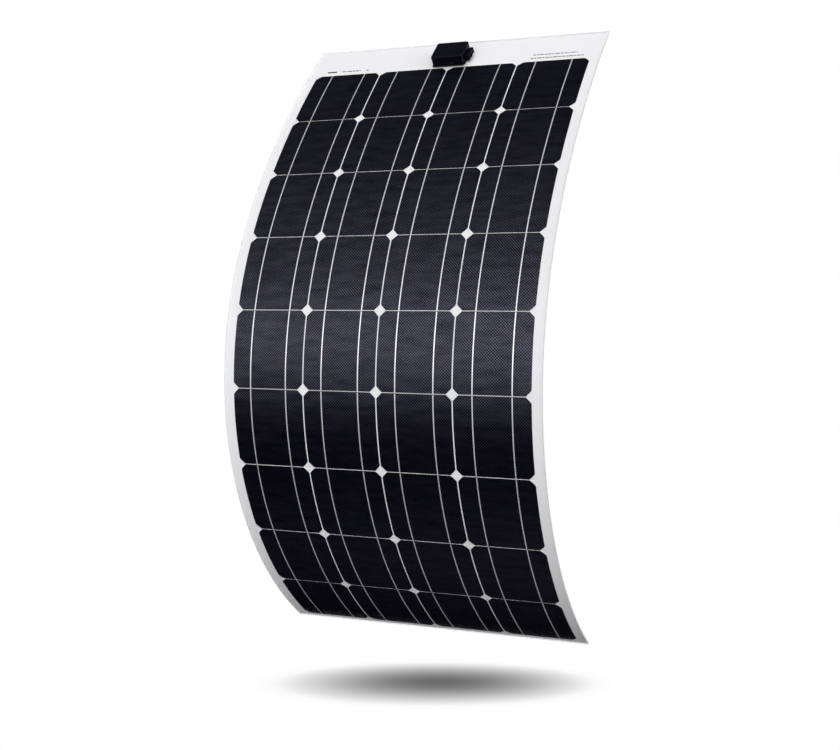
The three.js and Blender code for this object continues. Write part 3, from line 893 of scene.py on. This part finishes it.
silicone = moulded("grey silicone", SEAL_GREY, roughness=0.55, grains=900.0, depth=0.00003, specular=0.4)
shape = take("lid_seal")
soften(shape, SEAL_ROUNDING)
keep("seal_ring", shape, silicone, "row_1", ["lid_seal"])

# ---- Terminals and bypass diode -----------------------------------------------------------------------------
# A plastic strip carries two clamps of tinned brass, with a bypass diode soldered across them. Two flat
# ribbons come up through the slot in the floor and end in the clamps. All this shows when the lid is off.
STRIP_COLOR = (0.035, 0.035, 0.038)
STRIP_ROUNDING = 0.00025
CLAMPS_ABOVE = 0.0045
DIODE_AT = (-0.004, 0.0092)
DIODE_RADIUS = 0.00265
DIODE_LENGTH = 0.009
DIODE_EDGE = 0.0005
DIODE_EDGE_STEPS = 5
DIODE_BAND = (0.0018, 0.0033)
LEAD_RADIUS = 0.0006
LEAD_SPAN = 0.042
LATHE_SIDES = 32
EPOXY_BLACK = (0.010, 0.010, 0.011)
BRASS = (0.62, 0.60, 0.55)
TARNISH_PER_METRE = 300.0
TARNISH_ROUGHNESS = (0.18, 0.48)
BAND_WHITE = (0.62, 0.63, 0.65)
BAND_SPECKS_PER_METRE = 2500.0
BAND_ROUGHNESS = (0.25, 0.55)

strip_plastic = moulded("terminal strip plastic", STRIP_COLOR, roughness=0.5, grains=1500.0, depth=0.00003)
shape = take("terminal_strip")
soften(shape, STRIP_ROUNDING)
strip = keep("terminal_block", shape, strip_plastic, "row_1", ["terminal_strip"])

brass, tree, shader = new_material("tinned brass", BRASS, Metallic=1.0)
tarnish = noise(tree, tree.nodes.new("ShaderNodeTexCoord").outputs["Object"], TARNISH_PER_METRE)
roughen(tree, shader, tarnish, *TARNISH_ROUGHNESS)
strip.data.materials.append(brass)
into_box = box_place.inverted()
for face in strip.data.polygons:
    face.material_index = 1 if (into_box @ face.center).z > CLAMPS_ABOVE else 0


def lathe(profile):
    """Turns a profile of (along, radius) pairs about the X axis; both its ends are on the axis."""
    shape = bmesh.new()
    rings = []
    for along, radius in profile:
        if radius == 0.0:
            rings.append([shape.verts.new((along, 0.0, 0.0))])
            continue
        rings.append([
            shape.verts.new((along, radius * math.cos(turned), radius * math.sin(turned)))
            for turned in (2 * math.pi * i / LATHE_SIDES for i in range(LATHE_SIDES))
        ])
    for ring, following in zip(rings, rings[1:]):
        for i in range(LATHE_SIDES):
            j = (i + 1) % LATHE_SIDES
            corners = [ring[i % len(ring)], ring[j % len(ring)], following[j % len(following)],
                       following[i % len(following)]]
            shape.faces.new(list(dict.fromkeys(corners)))
    bmesh.ops.recalc_face_normals(shape, faces=shape.faces)
    return shape


half = DIODE_LENGTH / 2
rounding = [(DIODE_EDGE * (1 - math.cos(turned)), DIODE_EDGE * (1 - math.sin(turned)))
            for turned in (math.pi / 2 * i / DIODE_EDGE_STEPS for i in range(DIODE_EDGE_STEPS + 1))]
profile = [(-LEAD_SPAN / 2, 0.0), (-LEAD_SPAN / 2, LEAD_RADIUS), (-half, LEAD_RADIUS)]
profile += [(-half + across, DIODE_RADIUS - inward) for across, inward in rounding]
profile += [(edge, DIODE_RADIUS) for edge in DIODE_BAND]
profile += [(half - across, DIODE_RADIUS - inward) for across, inward in reversed(rounding)]
profile += [(half, LEAD_RADIUS), (LEAD_SPAN / 2, LEAD_RADIUS), (LEAD_SPAN / 2, 0.0)]
shape = lathe(profile)
bmesh.ops.transform(shape, verts=shape.verts, matrix=box_place @ Matrix.Translation((0.0, *DIODE_AT)))
epoxy = moulded("diode epoxy", EPOXY_BLACK, roughness=0.3, grains=2600.0, depth=0.00001, specular=0.5)
band_paint, tree, shader = new_material("diode band paint", BAND_WHITE)
specks = noise(tree, tree.nodes.new("ShaderNodeTexCoord").outputs["Object"], BAND_SPECKS_PER_METRE)
roughen(tree, shader, specks, *BAND_ROUGHNESS)
diode = keep("diode", shape, epoxy, "row_1", ["bypass_diode"])
diode.data.materials.append(brass)
diode.data.materials.append(band_paint)
for face in diode.data.polygons:
    x = (into_box @ face.center).x
    if abs(x) > half:
        face.material_index = 1
    elif DIODE_BAND[0] < x < DIODE_BAND[1]:
        face.material_index = 2

# Each ribbon end is a flat strip bent twice: up out of the slot, then over into its clamp.
TAIL_PATH = ((-0.0140, 0.0005), (-0.0140, 0.0055), (-0.0125, 0.0072), (-0.0100, 0.0078), (-0.0040, 0.0080))
TAIL_WIDTH = 0.005
TAIL_THICKNESS = 0.0003
SLOT_AT = 0.010
CLAMP_AT = 0.017

tails = bmesh.new()
for way in (-1, 1):
    rings = []
    for i, (y, z) in enumerate(TAIL_PATH):
        before = Vector(TAIL_PATH[max(i - 1, 0)])
        after = Vector(TAIL_PATH[min(i + 1, len(TAIL_PATH) - 1)])
        along = (after - before).normalized()
        side = TAIL_THICKNESS / 2 * Vector((-along.y, along.x))
        x = way * (SLOT_AT + (CLAMP_AT - SLOT_AT) * i / (len(TAIL_PATH) - 1))
        rings.append([
            tails.verts.new((x + half_width, y + sign * side.x, z + sign * side.y))
            for half_width, sign in ((-TAIL_WIDTH / 2, -1), (TAIL_WIDTH / 2, -1), (TAIL_WIDTH / 2, 1),
                                     (-TAIL_WIDTH / 2, 1))
        ])
    for ring, following in zip(rings, rings[1:]):
        for i in range(4):
            j = (i + 1) % 4
            tails.faces.new((ring[i], ring[j], following[j], following[i]))
    tails.faces.new(rings[0][::-1])
    tails.faces.new(rings[-1])
bmesh.ops.recalc_face_normals(tails, faces=tails.faces)
bmesh.ops.transform(tails, matrix=box_place, verts=tails.verts)
keep("ribbon_ends", tails, brass, "row_1")

bpy.data.objects.remove(guide)
